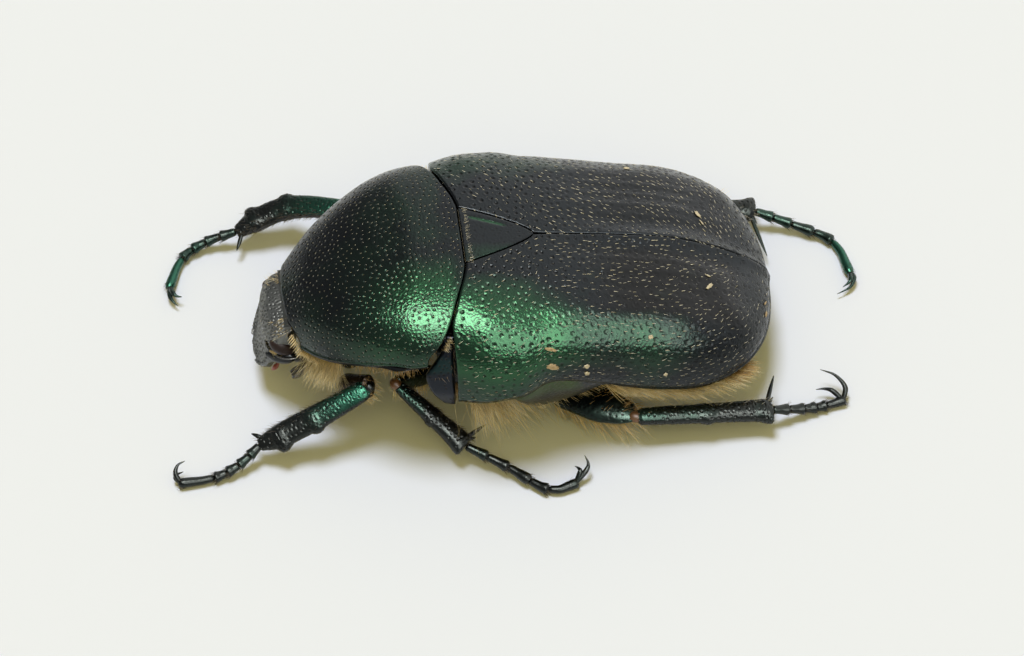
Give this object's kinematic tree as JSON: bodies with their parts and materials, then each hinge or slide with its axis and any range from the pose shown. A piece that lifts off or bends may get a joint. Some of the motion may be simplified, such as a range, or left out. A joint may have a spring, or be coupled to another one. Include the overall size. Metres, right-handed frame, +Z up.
{
  "type": "rose chafer beetle model",
  "caption": "Life-size still model of a dark metallic green flower chafer beetle, domed pronotum and wing cases, notched mouth shield, spread bristly legs, golden fringe underneath.",
  "frame": {"origin": "middle of the box round the whole beetle, at the level of the floor under its feet", "axes": "+X from head to tail, +Y towards the beetle's right side, +Z up"},
  "size_m": [0.0302, 0.0166, 0.008],
  "materials": {
    "shell_green": "dark metallic green, punctured, with pale setae",
    "dark_chitin": "blackish green chitin, satin",
    "palp_red": "reddish brown, satin",
    "eye_brown": "dark reddish brown, glossy"
  },
  "bodies": {
    "root": {"prothorax": "shell_green", "scutellum": "shell_green", "elytron_left": "shell_green", "elytron_right": "shell_green", "side_plate_left": "shell_green", "side_plate_right": "shell_green", "coxa_hind_left": "shell_green", "coxa_hind_right": "shell_green", "pygidium": "shell_green", "head": "dark_chitin", "thorax": "dark_chitin", "abdomen": "dark_chitin", "antenna_left": "dark_chitin", "antenna_right": "dark_chitin", "coxa_fore_left": "dark_chitin", "coxa_fore_right": "dark_chitin", "coxa_mid_left": "dark_chitin", "coxa_mid_right": "dark_chitin", "femur_fore_left": "dark_chitin", "tibia_fore_left": "dark_chitin", "tarsus_fore_left": "dark_chitin", "femur_fore_right": "dark_chitin", "tibia_fore_right": "dark_chitin", "tarsus_fore_right": "dark_chitin", "femur_mid_left": "dark_chitin", "tibia_mid_left": "dark_chitin", "tarsus_mid_left": "dark_chitin", "femur_mid_right": "dark_chitin", "tibia_mid_right": "dark_chitin", "tarsus_mid_right": "dark_chitin", "femur_hind_left": "dark_chitin", "tibia_hind_left": "dark_chitin", "tarsus_hind_left": "dark_chitin", "femur_hind_right": "dark_chitin", "tibia_hind_right": "dark_chitin", "tarsus_hind_right": "dark_chitin", "mouthparts": "palp_red", "palp_left": "palp_red", "palp_right": "palp_red", "eye_left": "eye_brown", "eye_right": "eye_brown"}
  },
  "joints": []
}
